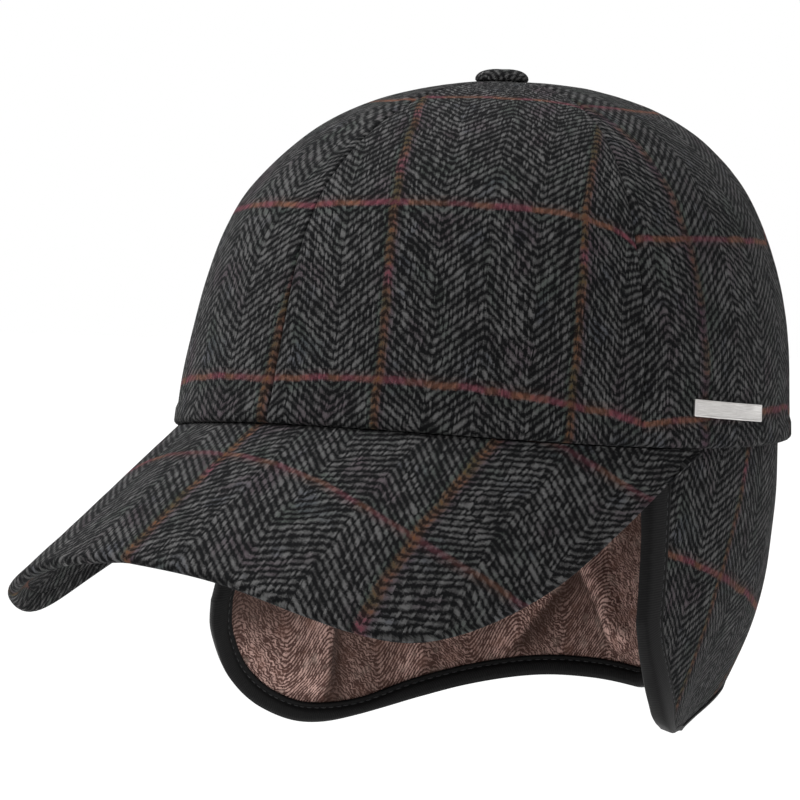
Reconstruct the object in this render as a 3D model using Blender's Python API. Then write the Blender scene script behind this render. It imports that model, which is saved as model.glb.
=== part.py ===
"""Six-panel cap in tweed with a curved peak and one lined earflap band round sides and back.

Run it with: blender --background --python part.py
The front is -Y, the wearer's left is +X, and the origin is the middle of the head opening,
at the crown's lower edge.
"""

import math
from bisect import bisect_right
from collections import namedtuple

import bmesh
import bpy
from mathutils import Vector

# Lengths are metres and angles degrees. An angle round the cap runs from the
# middle of the front, 0, over the wearer's left, 90, to the middle of the back, 180.

CLEARANCE = 0.0003  # gap kept between two pieces that touch

CROWN_FRONT = 0.102  # rim's reach from the origin
CROWN_BACK = 0.102
CROWN_SIDE = 0.088
CROWN_HEIGHT = 0.1066
RIM_SADDLE = 0.0026  # the rim rises by this at front and back, and dips over the ears
CROWN_WALL = 0.0022
HEM_WALL = 0.003  # cloth turned up inside the rim
HEM_HEIGHT = 0.0095
HEM_STEP = 0.0015
HEM_ROLL = 0.0009  # rounding of the rim's lower edge
SEAM_DIP = 0.0008  # how far a panel sinks at its seams
SEAM_ROLL = 0.05  # share of a panel's width over which it sinks
SIDE_SEAM = 73.0
BACK_SEAM = 126.0

BUTTON_RADIUS = 0.0081
BUTTON_HEIGHT = 0.0045
BUTTON_CROWNING = 0.0012  # how much higher the middle is than the shoulder
SHANK_RADIUS = 0.0024
SHANK_LENGTH = 0.0032

PEAK_REACH = 0.0624  # level distance from rim to edge, on the middle line
PEAK_SLOPE = 30.5
PEAK_SIDE_SLOPE = 5.7  # added over the temples
PEAK_TILT = 1.1  # added over the left temple and taken off over the right one
PEAK_TUCK = 0.001  # the hem overhangs the peak by this
PEAK_UPPER_WALL = 0.0018
PEAK_LOWER_WALL = 0.0011
PEAK_EDGE_ROLL = 0.0006
PEAK_END = 88.0

FLAP_FRONT = 77.6  # where the band starts on each side
FLAP_DEPTH = 0.0935  # below the rim, over the ear
FLAP_TUCK = 0.0085  # sewn in above the rim
FLAP_STEP = 0.004  # height over which the band comes in from the hem to clear the peak
FLAP_STEP_END = 100.0  # behind this it needs no step
FLAP_SWAY = 0.0144  # how far the band leans in or out, three quarters of the way down
FLAP_WALL = 0.0016
LINING_WALL = 0.0012

BINDING_WIDTH = 0.0065
BINDING_WALL = 0.0009
BINDING_BULGE = 0.0006
BINDING_START = 0.012  # its ends below the rim, out of the peak's way
BINDING_GAP = 0.0005  # between the strip and the cloth, more than CLEARANCE where it turns corners

BADGE_LENGTH = 0.0374
BADGE_HEIGHT = 0.0049
BADGE_WALL = 0.001
BADGE_BEVEL = 0.0003
BADGE_ANGLE = 94.8
BADGE_RAISE = 0.0109  # middle of the badge above the rim

# Crown, one row for each section from rim to button. Height is a share of
# CROWN_HEIGHT, the others of the rim's reach to the front, the back and the side.
Section = namedtuple("Section", "height front back side")
CROWN = [
    Section(0.000, 1.000, 1.000, 1.000),
    Section(0.140, 0.972, 0.998, 0.993),
    Section(0.280, 0.936, 0.997, 0.973),
    Section(0.420, 0.898, 0.981, 0.937),
    Section(0.560, 0.840, 0.936, 0.884),
    Section(0.680, 0.760, 0.881, 0.811),
    Section(0.790, 0.638, 0.793, 0.703),
    Section(0.880, 0.494, 0.660, 0.576),
    Section(0.945, 0.333, 0.505, 0.418),
    Section(0.985, 0.153, 0.319, 0.234),
    Section(1.000, -0.014, 0.084, 0.035),
]
CROWN_LEVELS = [1.3, 2, 3, 4, 5, 5.5, 6, 6.5, 7, 7.5, 8, 8.5, 9, 9.5, 10]

# Free edge of the peak. Angle is a share of PEAK_END, reach of PEAK_REACH.
PeakEdge = namedtuple("PeakEdge", "angle reach")
PEAK_EDGE = [
    PeakEdge(0.000, 1.028),
    PeakEdge(0.250, 1.085),
    PeakEdge(0.455, 1.181),
    PeakEdge(0.591, 1.231),
    PeakEdge(0.705, 1.230),
    PeakEdge(0.795, 1.140),
    PeakEdge(0.875, 0.975),
    PeakEdge(0.932, 0.770),
    PeakEdge(0.972, 0.440),
    PeakEdge(1.000, 0.090),
]

# Free edge of the flap band. Around is a share of the way from its front edge to the
# middle of the back, depth a share of FLAP_DEPTH.
FlapEdge = namedtuple("FlapEdge", "around depth")
FLAP_EDGE = [
    FlapEdge(0.000, 0.559),
    FlapEdge(0.014, 0.645),
    FlapEdge(0.038, 0.722),
    FlapEdge(0.075, 0.812),
    FlapEdge(0.132, 0.900),
    FlapEdge(0.208, 0.953),
    FlapEdge(0.311, 0.950),
    FlapEdge(0.434, 0.894),
    FlapEdge(0.566, 0.855),
    FlapEdge(0.708, 0.838),
    FlapEdge(0.849, 0.850),
    FlapEdge(1.000, 0.878),
]

# Lean of the band, out where positive, as shares of FLAP_SWAY. The left side curls
# in under the ear, and the right side stands a little open.
FlapLean = namedtuple("FlapLean", "around left right")
FLAP_LEAN = [
    FlapLean(0.000, -0.25, 0.80),
    FlapLean(0.142, -0.56, 0.20),
    FlapLean(0.283, -0.99, -0.14),
    FlapLean(0.425, -1.00, -0.39),
    FlapLean(0.566, -0.83, -0.59),
    FlapLean(0.708, -0.85, -0.67),
    FlapLean(0.849, -0.83, -0.71),
    FlapLean(1.000, -0.74, -0.74),
]
LEAN_DEPTH_SHARE = 0.75  # of FLAP_DEPTH, where FLAP_SWAY is measured
LEAN_POWER = 2.4


def remove_startup_objects():
    for obj in list(bpy.data.objects):
        bpy.data.objects.remove(obj, do_unlink=True)


def cloth(name, colour, roughness=0.9, metallic=0.0):
    material = bpy.data.materials.new(name)
    material.use_nodes = True
    shader = material.node_tree.nodes["Principled BSDF"]
    shader.inputs["Base Color"].default_value = (*colour, 1.0)
    shader.inputs["Roughness"].default_value = roughness
    shader.inputs["Metallic"].default_value = metallic
    return material


def column(table, name):
    return [getattr(row, name) for row in table]


def curve(keys, values, at):
    """Smooth curve through the values at their keys."""
    last = len(keys) - 1
    row = min(max(bisect_right(keys, at) - 1, 0), last - 1)
    step = keys[row + 1] - keys[row]
    share = (at - keys[row]) / step

    def slope(index):
        low, high = max(index - 1, 0), min(index + 1, last)
        return step * (values[high] - values[low]) / (keys[high] - keys[low])

    squared, cubed = share**2, share**3
    return (
        (2 * cubed - 3 * squared + 1) * values[row]
        + (cubed - 2 * squared + share) * slope(row)
        + (3 * squared - 2 * cubed) * values[row + 1]
        + (cubed - squared) * slope(row + 1)
    )


def spread(first, last, count):
    return [first + (last - first) * i / (count - 1) for i in range(count)]


def normal_at(surface, u, v, du=0.05, dv=0.0005):
    along = surface(u + du, v) - surface(u - du, v)
    across = surface(u, v + dv) - surface(u, v - dv)
    return along.cross(across).normalized()


def raised(surface, u, v, distance, **steps):
    """Point at this distance outside the surface."""
    return surface(u, v) + normal_at(surface, u, v, **steps) * distance


# Crown

def crown_reach(level):
    """Reach to the front, the back and the side. Level counts the rows of CROWN."""
    return [
        size * curve(range(len(CROWN)), column(CROWN, name), level)
        for size, name in ((CROWN_FRONT, "front"), (CROWN_BACK, "back"), (CROWN_SIDE, "side"))
    ]


def crown_point(angle, level):
    """Outer face of the crown."""
    front, back, side = crown_reach(level)
    height = curve(range(len(CROWN)), column(CROWN, "height"), level)
    turn = math.radians(angle)
    return Vector((
        side * math.sin(turn),
        (back - front) / 2 - (back + front) / 2 * math.cos(turn),
        CROWN_HEIGHT * height + RIM_SADDLE * math.cos(2 * turn) * (1 - height),
    ))


def crown_level(height):
    """Level at this height above the rim, low on the crown where its rows are even."""
    return height / (CROWN_HEIGHT * CROWN[1].height)


def crown_rows():
    """(level, roll of the outer face, wall) from the rim up."""
    hem_top = HEM_HEIGHT + HEM_STEP
    rows = [
        (0.0, HEM_ROLL, HEM_WALL - HEM_ROLL),
        (crown_level(HEM_ROLL), 0.0, HEM_WALL),
        (crown_level(HEM_HEIGHT), 0.0, HEM_WALL),
        (crown_level(hem_top), 0.0, CROWN_WALL),
    ]
    return rows + [(level, 0.0, CROWN_WALL) for level in CROWN_LEVELS if level > crown_level(hem_top)]


def seam_dip(share):
    """Nearness to a seam, 1 on it and 0 inside the panel."""
    return max(0.0, 1 - min(share, 1 - share) / SEAM_ROLL)


def crown_panel(name, first, last, bands, material):
    shares = [0.0, SEAM_ROLL] + spread(0.0, 1.0, bands + 1)[1:-1] + [1.0 - SEAM_ROLL, 1.0]
    outside, inside = [], []
    for level, roll, wall in crown_rows():
        # The seam's gap stays as wide at the button as at the rim.
        per_degree = (crown_point(first + 1, level) - crown_point(first, level)).length
        margin = CLEARANCE / 2 / per_degree
        angles = [first + margin + (last - first - 2 * margin) * share for share in shares]
        dips = [roll + SEAM_DIP * seam_dip(share) for share in shares]
        outside.append([raised(crown_point, a, level, -d, dv=0.01) for a, d in zip(angles, dips)])
        inside.append([raised(crown_point, a, level, -roll - wall, dv=0.01) for a in angles])
    return shell(name, outside, inside, material)


def make_crown(tweed):
    for side, sign in (("left", 1), ("right", -1)):
        for place, first, last, bands in (
            ("front", 0.0, SIDE_SEAM, 10),
            ("side", SIDE_SEAM, BACK_SEAM, 7),
            ("back", BACK_SEAM, 180.0, 7),
        ):
            edges = sorted((sign * first, sign * last))
            crown_panel(f"crown_{place}_{side}", *edges, bands, tweed)


def make_button(tweed):
    top = crown_point(0.0, len(CROWN) - 1)
    middle = (top + crown_point(180.0, len(CROWN) - 1)) / 2
    base = top.z + CLEARANCE
    shoulder = BUTTON_HEIGHT - BUTTON_CROWNING
    profile = [
        (0.0, -SHANK_LENGTH),
        (SHANK_RADIUS, -SHANK_LENGTH),
        (SHANK_RADIUS, 0.0),
        (0.92 * BUTTON_RADIUS, 0.0),
        (BUTTON_RADIUS, 0.25 * BUTTON_HEIGHT),
        (BUTTON_RADIUS, 0.55 * BUTTON_HEIGHT),
        (0.88 * BUTTON_RADIUS, shoulder),
        (0.5 * BUTTON_RADIUS, BUTTON_HEIGHT - 0.25 * BUTTON_CROWNING),
        (0.0, BUTTON_HEIGHT),
    ]
    mesh = bmesh.new()
    points = [mesh.verts.new((middle.x + r, middle.y, base + z)) for r, z in profile]
    edges = [mesh.edges.new(pair) for pair in zip(points, points[1:])]
    bmesh.ops.spin(
        mesh,
        geom=points + edges,
        cent=(middle.x, middle.y, base),
        axis=(0, 0, 1),
        angle=math.tau,
        steps=20,
        use_merge=True,
    )
    bmesh.ops.remove_doubles(mesh, verts=mesh.verts, dist=1e-6)
    return finish("top_button", mesh, tweed)


# Peak

def peak_point(angle, share):
    """Upper face of the peak. Share runs from the rim, 0, to the free edge, 1."""
    turn = math.radians(angle)
    start = crown_point(angle, 0.0) - normal_at(crown_point, angle, 0.0, dv=0.01) * PEAK_TUCK
    around = min(abs(angle) / PEAK_END, 1.0)
    reach = share * PEAK_REACH * curve(column(PEAK_EDGE, "angle"), column(PEAK_EDGE, "reach"), around)
    side = math.sin(turn)
    slope = math.radians(PEAK_SLOPE + PEAK_SIDE_SLOPE * side**2 + PEAK_TILT * side)
    return start + Vector((0.0, -reach, -CLEARANCE - reach * math.tan(slope)))


def peak_layer(name, depth, wall, edge_roll, material):
    """Cloth layer of the peak whose upper face lies this deep under the peak's own."""
    # Columns crowd towards the ends, where the edge turns up to the rim.
    angles = [PEAK_END * math.sin(math.pi / 2 * share) for share in spread(-1.0, 1.0, 29)]
    shares = [0.0, 0.3, 0.6, 0.85, 0.985, 1.0]
    outside, inside = [], []
    for share in shares:
        rolled = edge_roll if share == 1.0 else 0.0
        outside.append([raised(peak_point, a, share, depth + rolled, dv=0.005) for a in angles])
        inside.append([raised(peak_point, a, share, depth + wall, dv=0.005) for a in angles])
    return shell(name, outside, inside, material)


def make_peak(tweed):
    peak_layer("peak_upper", 0.0, PEAK_UPPER_WALL, PEAK_EDGE_ROLL, tweed)
    under = PEAK_UPPER_WALL + CLEARANCE
    peak_layer("peak_lower", under, PEAK_LOWER_WALL, 0.0, tweed)


# Flap band

def band_share(angle):
    """0 at the band's front edge and 1 at the middle of the back, on either side."""
    return max(0.0, (180.0 - abs(180.0 - angle % 360.0) - FLAP_FRONT) / (180.0 - FLAP_FRONT))


def flap_depth(angle):
    return FLAP_DEPTH * curve(column(FLAP_EDGE, "around"), column(FLAP_EDGE, "depth"), band_share(angle))


def flap_inset(angle, height):
    """Distance inside the crown's outer face: by the hem, and clear of the peak's end below it."""
    peak_wall = PEAK_UPPER_WALL + CLEARANCE + PEAK_LOWER_WALL
    beside_peak = PEAK_TUCK + peak_wall + CLEARANCE
    by_hem = HEM_WALL + CLEARANCE
    around = 180.0 - abs(180.0 - angle % 360.0)
    back = min(max((FLAP_STEP_END - around) / (FLAP_STEP_END - PEAK_END), 0.0), 1.0)
    share = min(max(height / FLAP_STEP, 0.0), 1.0)
    return by_hem + (beside_peak - by_hem) * back**2 * (3 - 2 * back) * (1 - share)


def flap_point(angle, height):
    """Outer face of the band, at this height above its place on the rim, negative below."""
    name = "left" if angle % 360.0 <= 180.0 else "right"
    lean = FLAP_SWAY * curve(column(FLAP_LEAN, "around"), column(FLAP_LEAN, name), band_share(angle))
    lean *= (max(-height, 0.0) / (LEAN_DEPTH_SHARE * FLAP_DEPTH)) ** LEAN_POWER
    out = lean - flap_inset(angle, height)
    front, back, side = crown_reach(crown_level(max(height, 0.0)))
    turn = math.radians(angle)
    y = (back - front) / 2 - ((front + back) / 2 + out) * math.cos(turn)
    z = RIM_SADDLE * math.cos(2 * turn) + height
    return Vector(((side + out) * math.sin(turn), y, z))


def band_angles():
    """From the left front edge round the back to the right one, closer where the corners turn."""
    half = 180.0 - FLAP_FRONT
    shares = [0.0, 0.007, 0.016, 0.03, 0.05, 0.08, 0.12, 0.165] + spread(0.21, 1.0, 13)
    left = [FLAP_FRONT + half * share for share in shares]
    return left + [360.0 - angle for angle in reversed(left[:-1])]


def flap_heights(angle):
    """Heights of the band's rows at this angle, with one at the top of the binding's legs."""
    depth = flap_depth(angle)
    legs = depth - BINDING_WIDTH
    return [FLAP_TUCK, FLAP_STEP, 0.0, -0.3 * legs, -0.58 * legs, -0.81 * legs, -legs, -depth]


def flap_layer(name, depth, wall, material):
    """Cloth layer of the band whose outer face lies this deep under the band's own."""
    angles = band_angles()
    columns = [flap_heights(angle) for angle in angles]
    rows = range(len(columns[0]))

    def face(distance):
        return [[raised(flap_point, a, c[row], -distance) for a, c in zip(angles, columns)] for row in rows]

    return shell(name, face(depth), face(depth + wall), material)


def binding_stations():
    """(angle, height) along the band's free edge, from the left front end to the right one."""
    down = spread(BINDING_START, flap_depth(FLAP_FRONT), 5)[:-1]
    edge = [(angle, -flap_depth(angle)) for angle in band_angles()]
    ends = [(FLAP_FRONT, -drop) for drop in down]
    return ends + edge + [(-FLAP_FRONT, height) for _, height in reversed(ends)]


def binding_section(before, here, after):
    """The folded strip's section at one station, as a ring of points."""
    angle, height = here
    edge_run = flap_point(*after) - flap_point(*before)
    normal = normal_at(flap_point, angle, height)
    off_edge = edge_run.cross(normal).normalized()
    # Steps of the band's own angle and height that lead back from the edge over the cloth.
    around = flap_point(angle + 0.5, height) - flap_point(angle - 0.5, height)
    up = flap_point(angle, height + 0.0005) - flap_point(angle, height - 0.0005)
    back = (
        angle - off_edge.dot(around.normalized()) * BINDING_WIDTH / around.length,
        height - off_edge.dot(up.normalized()) * BINDING_WIDTH,
    )
    stack = FLAP_WALL + CLEARANCE + LINING_WALL
    edge_point = flap_point(angle, height)

    def leg(distance):
        return raised(flap_point, *back, distance)

    def foot(distance, beyond):
        return edge_point + normal * distance + off_edge * beyond

    tip = BINDING_GAP + BINDING_WALL
    return [
        leg(tip),
        foot(tip, 0.0),
        foot(0.0, tip + BINDING_BULGE / 2),
        foot(-stack / 2, tip + BINDING_BULGE),
        foot(-stack, tip + BINDING_BULGE / 2),
        foot(-stack - tip, 0.0),
        leg(-stack - tip),
        leg(-stack - BINDING_GAP),
        foot(-stack - BINDING_GAP, BINDING_GAP),
        foot(BINDING_GAP, BINDING_GAP),
        leg(BINDING_GAP),
    ]


def make_binding(material):
    stations = binding_stations()
    ends = len(stations) - 1
    mesh = bmesh.new()
    rings = []
    for i, station in enumerate(stations):
        section = binding_section(stations[max(i - 1, 0)], station, stations[min(i + 1, ends)])
        rings.append([mesh.verts.new(point) for point in section])
    for ring, following in zip(rings, rings[1:]):
        for i in range(len(ring)):
            j = (i + 1) % len(ring)
            mesh.faces.new((ring[i], ring[j], following[j], following[i]))
    for ring in (rings[0], rings[-1]):
        for corners in ((0, 1, 9, 10), (1, 2, 3, 9), (3, 8, 9), (3, 4, 5, 8), (5, 6, 7, 8)):
            mesh.faces.new([ring[i] for i in corners])
    return finish("flap_binding", mesh, material)


def make_flap(tweed, lining, binding):
    flap_layer("flap_outer", 0.0, FLAP_WALL, tweed)
    flap_layer("flap_lining", FLAP_WALL + CLEARANCE, LINING_WALL, lining)
    make_binding(binding)


# Badge

def make_badge(metal):
    """Bare plate that follows the crown above the hem on the wearer's left."""
    per_degree = (crown_point(BADGE_ANGLE + 0.5, 0.0) - crown_point(BADGE_ANGLE - 0.5, 0.0)).length
    half_angle = BADGE_LENGTH / 2 / per_degree
    angles = spread(BADGE_ANGLE - half_angle, BADGE_ANGLE + half_angle, 9)
    heights = (BADGE_RAISE - BADGE_HEIGHT / 2, BADGE_RAISE + BADGE_HEIGHT / 2)

    def face(distance):
        return [[raised(crown_point, a, crown_level(h), distance, dv=0.01) for a in angles] for h in heights]

    badge = shell("badge", face(CLEARANCE + BADGE_WALL), face(CLEARANCE), metal)
    bevel = badge.modifiers.new("Bevel", "BEVEL")
    bevel.width = BADGE_BEVEL
    bevel.segments = 2
    bevel.limit_method = "ANGLE"
    bevel.angle_limit = math.radians(40)
    return badge


# Meshes

def shell(name, outside, inside, material):
    """Closed solid between two grids of points that face each other."""
    mesh = bmesh.new()
    grids = [[[mesh.verts.new(point) for point in row] for row in grid] for grid in (outside, inside)]
    rows, columns = len(outside), len(outside[0])
    for grid in grids:
        for low, high in zip(grid, grid[1:]):
            for i in range(columns - 1):
                mesh.faces.new((low[i], low[i + 1], high[i + 1], high[i]))
    border = [(0, i) for i in range(columns)] + [(j, columns - 1) for j in range(1, rows)]
    border += [(rows - 1, i) for i in range(columns - 2, -1, -1)]
    border += [(j, 0) for j in range(rows - 2, 0, -1)]
    for (j, i), (l, k) in zip(border, border[1:] + border[:1]):
        mesh.faces.new((grids[0][j][i], grids[0][l][k], grids[1][l][k], grids[1][j][i]))
    return finish(name, mesh, material)


def finish(name, mesh, material):
    bmesh.ops.recalc_face_normals(mesh, faces=mesh.faces)
    data = bpy.data.meshes.new(name)
    mesh.to_mesh(data)
    mesh.free()
    data.materials.append(material)
    data.shade_smooth()
    data.set_sharp_from_angle(angle=math.radians(35))
    obj = bpy.data.objects.new(name, data)
    bpy.context.scene.collection.objects.link(obj)
    return obj


def main():
    remove_startup_objects()
    tweed = cloth("charcoal_tweed", (0.028, 0.027, 0.029))
    lining = cloth("lining_cloth", (0.21, 0.13, 0.11))
    binding = cloth("black_binding", (0.010, 0.010, 0.011), roughness=0.7)
    metal = cloth("silver_metal", (0.60, 0.59, 0.58), roughness=0.3, metallic=1.0)
    make_crown(tweed)
    make_button(tweed)
    make_peak(tweed)
    make_flap(tweed, lining, binding)
    make_badge(metal)


main()
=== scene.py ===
import math

import bpy
import numpy as np
from mathutils import Matrix, Vector, noise


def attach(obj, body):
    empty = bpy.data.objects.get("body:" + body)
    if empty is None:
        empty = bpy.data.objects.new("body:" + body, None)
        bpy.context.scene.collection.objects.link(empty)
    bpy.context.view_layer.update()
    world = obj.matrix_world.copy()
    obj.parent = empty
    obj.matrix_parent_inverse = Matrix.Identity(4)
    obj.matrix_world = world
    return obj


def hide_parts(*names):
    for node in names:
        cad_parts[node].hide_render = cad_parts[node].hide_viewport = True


# An earflap cap in herringbone tweed. Lengths are metres, angles are degrees round the
# cap: 0 is the middle of the front, 90 the wearer's left ear, 180 the middle of the back.

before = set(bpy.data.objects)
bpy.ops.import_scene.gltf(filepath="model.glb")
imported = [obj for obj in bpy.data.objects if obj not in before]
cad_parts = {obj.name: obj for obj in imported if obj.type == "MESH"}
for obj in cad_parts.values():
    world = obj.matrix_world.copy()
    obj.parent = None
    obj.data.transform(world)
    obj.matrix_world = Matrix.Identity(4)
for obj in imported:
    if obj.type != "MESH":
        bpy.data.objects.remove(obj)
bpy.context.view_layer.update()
mm = 0.001


# Forms that the cloth follows, with the solids' own sizes

crownForm = {
    "front": 0.102, "back": 0.102, "side": 0.088, "height": 0.1066, "saddle": 0.0026,
    # height, front, back, side, from the rim up to the button
    "rows": [
        (0.000, 1.000, 1.000, 1.000),
        (0.140, 0.972, 0.998, 0.993),
        (0.280, 0.936, 0.997, 0.973),
        (0.420, 0.898, 0.981, 0.937),
        (0.560, 0.840, 0.936, 0.884),
        (0.680, 0.760, 0.881, 0.811),
        (0.790, 0.638, 0.793, 0.703),
        (0.880, 0.494, 0.660, 0.576),
        (0.945, 0.333, 0.505, 0.418),
        (0.985, 0.153, 0.319, 0.234),
        (1.000, -0.014, 0.084, 0.035),
    ],
}

peakForm = {
    "reach": 0.0624, "slope": 30.5, "sideSlope": 5.7, "tilt": 1.1, "tuck": 0.001, "end": 88.0, "drop": 0.0003,
    "curl": 0.0030, "curlAngle": -66.0, "curlWidth": 8.0,
    # share of the way round to the end, reach
    "edge": [
        (0.000, 1.028), (0.250, 1.085), (0.455, 1.181), (0.591, 1.231), (0.705, 1.230),
        (0.795, 1.140), (0.875, 0.975), (0.932, 0.770), (0.972, 0.440), (1.000, 0.090),
    ],
}

flapForm = {
    "start": 77.6, "depth": 0.0935, "tuck": 0.0085, "step": 0.004,
    "insetPeak": 0.0045, "insetHem": 0.0033, "peakEnd": 88.0, "stepEnd": 100.0,
    "sway": 0.0144, "leanDepth": 0.75, "leanPower": 2.4, "tipOut": 0.0029, "tipAngle": 107.0, "tipWidth": 8.0,
    # angle, how much shorter the left flap is there
    "worn": [(103.0, 0.0033), (120.0, -0.0010), (137.0, 0.0025)], "wornWidth": 9.0,
    # share of the way from the front edge to the middle of the back, depth
    "edge": [
        (0.000, 0.559), (0.014, 0.645), (0.038, 0.722), (0.075, 0.812), (0.132, 0.900), (0.208, 0.953),
        (0.311, 0.950), (0.434, 0.894), (0.566, 0.855), (0.708, 0.838), (0.849, 0.850), (1.000, 0.878),
    ],
    # the same share, lean on the left and on the right
    "lean": [
        (0.000, -0.25, 0.80), (0.142, -0.56, 0.20), (0.283, -0.99, -0.14), (0.425, -1.00, -0.39),
        (0.566, -0.83, -0.59), (0.708, -0.85, -0.67), (0.849, -0.83, -0.71), (1.000, -0.74, -0.74),
    ],
}


def pack(*parts):
    # side by side along a last axis
    return np.stack(parts, axis=-1)


def smoothRow(keys, values, at):
    # smooth curve through a table's rows
    keys, values, at = (np.asarray(item, float) for item in (keys, values, at))
    last = len(keys) - 1
    row = np.clip(np.searchsorted(keys, at, side="right") - 1, 0, last - 1)
    before, after = np.maximum(row - 1, 0), np.minimum(row + 2, last)
    step = keys[row + 1] - keys[row]
    share = (at - keys[row]) / step
    leaving = step * (values[row + 1] - values[before]) / (keys[row + 1] - keys[before])
    coming = step * (values[after] - values[row]) / (keys[after] - keys[row])
    two, three = share**2, share**3
    return ((2 * three - 3 * two + 1) * values[row] + (three - 2 * two + share) * leaving
            + (3 * two - 2 * three) * values[row + 1] + (three - two) * coming)


def crownRow(level):
    # height, front, back and side at a level, which counts the rows of the crown's table
    rows = np.array(crownForm["rows"])
    return [crownForm[name] * smoothRow(range(len(rows)), rows[:, i], level)
            for i, name in enumerate(("height", "front", "back", "side"))]


def crownSurface(angle, level):
    form = crownForm
    height, front, back, side = crownRow(level)
    turn = np.radians(angle)
    return pack(
        side * np.sin(turn),
        (back - front) / 2 - (back + front) / 2 * np.cos(turn),
        height + form["saddle"] * np.cos(2 * turn) * (1 - height / form["height"]),
    )


def levelAt(height):
    # level at a height above the rim, low on the crown
    return height / (crownForm["height"] * crownForm["rows"][1][0])


def slopesOf(surface, a, b, da, db):
    along = surface(a + da, b) - surface(a - da, b)
    up = surface(a, b + db) - surface(a, b - db)
    return along, up


def normalsOf(surface, a, b, da=0.05, db=0.01):
    return unit(np.cross(*slopesOf(surface, a, b, da, db)))


def bump(value, middle, width):
    # 1 in the middle, and soft to both sides
    return np.exp(-((value - middle) / width) ** 2)


def unit(vectors):
    return vectors / np.linalg.norm(vectors, axis=-1, keepdims=True)


def peakSurface(angle, share):
    # share runs from the rim to the free edge
    form = peakForm
    start = crownSurface(angle, 0.0 * angle)
    start = start - normalsOf(crownSurface, angle, 0.0 * angle + 0.02) * form["tuck"]
    edge = np.array(form["edge"])
    around = np.minimum(abs(angle) / form["end"], 1.0)
    reach = share * form["reach"] * smoothRow(edge[:, 0], edge[:, 1], around)
    side = np.sin(np.radians(angle))
    slope = np.radians(form["slope"] + form["sideSlope"] * side**2 + form["tilt"] * side)
    curl = form["curl"] * bump(angle, form["curlAngle"], form["curlWidth"])
    fall = form["drop"] + reach * np.tan(slope) + curl * smoothStep(0.6, 1.1, share)
    return start + pack(0.0 * reach, -reach, -fall)


def bandShare(angle):
    # 0 at the flap band's front edge, 1 at the middle of the back
    start = flapForm["start"]
    return np.maximum(0.0, (180.0 - abs(180.0 - angle % 360.0) - start) / (180.0 - start))


def flapDepth(angle):
    # the left tip is worn a little shorter and rounder than the right one
    form = flapForm
    edge = np.array(form["edge"])
    worn = sum(size * bump(angle, at, form["wornWidth"]) for at, size in form["worn"])
    return form["depth"] * smoothRow(edge[:, 0], edge[:, 1], bandShare(angle)) - worn


def flapSurface(angle, height):
    # outer face of the band, height is negative below the rim
    form = flapForm
    table = np.array(form["lean"])
    left, right = (smoothRow(table[:, 0], table[:, i], bandShare(angle)) for i in (1, 2))
    lean = form["sway"] * np.where(angle % 360.0 <= 180.0, left, right)
    lean = lean * (np.maximum(-height, 0.0) / (form["leanDepth"] * form["depth"])) ** form["leanPower"]
    tip = bump(angle, form["tipAngle"], form["tipWidth"]) * smoothStep(0.074, 0.088, -height)
    lean = lean + form["tipOut"] * tip
    around = 180.0 - abs(180.0 - angle % 360.0)
    beside = smoothStep(0.0, 1.0, (form["stepEnd"] - around) / (form["stepEnd"] - form["peakEnd"]))
    beside = beside * (1.0 - np.clip(height / form["step"], 0.0, 1.0))
    out = lean - form["insetHem"] - (form["insetPeak"] - form["insetHem"]) * beside
    front, back, side = crownRow(levelAt(np.maximum(height, 0.0)))[1:]
    turn = np.radians(angle)
    return pack(
        (side + out) * np.sin(turn),
        (back - front) / 2 - ((front + back) / 2 + out) * np.cos(turn),
        crownForm["saddle"] * np.cos(2 * turn) + height,
    )


def ripple(points, size, seed):
    # soft unevenness from -1 to 1, this many millimetres across
    flat = points.reshape(-1, 3) / (size * mm) + seed
    return np.array([noise.noise(Vector(point)) for point in flat]).reshape(points.shape[:-1])


def smoothStep(low, high, value):
    # rises from 0 at low to 1 at high, and falls where low is the greater of the two
    share = np.clip((value - low) / (high - low), 0.0, 1.0)
    return share * share * (3.0 - 2.0 * share)


# Camera and light

def justAdded(name):
    # what an operator has just added
    piece = bpy.context.object
    piece.name = piece.data.name = name
    return piece


def aimCamera():
    view = {"azimuth": 38.9, "elevation": 1.33, "roll": 1.34, "distance": 2.28, "lens": 335.6,
            "aimRight": -0.0255, "aimUp": 0.0092}
    azimuth, elevation, roll = (math.radians(view[name]) for name in ("azimuth", "elevation", "roll"))
    away = Vector((-math.sin(azimuth) * math.cos(elevation), math.cos(azimuth) * math.cos(elevation),
                   -math.sin(elevation)))
    level = Vector((math.cos(azimuth), math.sin(azimuth), 0.0))
    top = level.cross(away)
    right = level * math.cos(roll) + top * math.sin(roll)
    top = top * math.cos(roll) - level * math.sin(roll)
    place = away * -view["distance"]
    look = (right * view["aimRight"] + top * view["aimUp"] - place).normalized()
    right = look.cross(top).normalized()
    bpy.ops.object.camera_add(location=place)
    camera = justAdded("photoCamera")
    camera.rotation_euler = Matrix((right, right.cross(look), -look)).transposed().to_euler()
    camera.data.lens = view["lens"]
    camera.data.clip_end = 50.0
    bpy.context.scene.camera = camera


def addSoftbox(name, place, target, size, power):
    bpy.ops.object.light_add(type="AREA", location=place)
    lamp = justAdded(name)
    lamp.data.shape = "DISK"
    lamp.data.size = size
    lamp.data.energy = power
    lamp.rotation_euler = (Vector(target) - Vector(place)).to_track_quat("-Z", "Y").to_euler()


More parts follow.
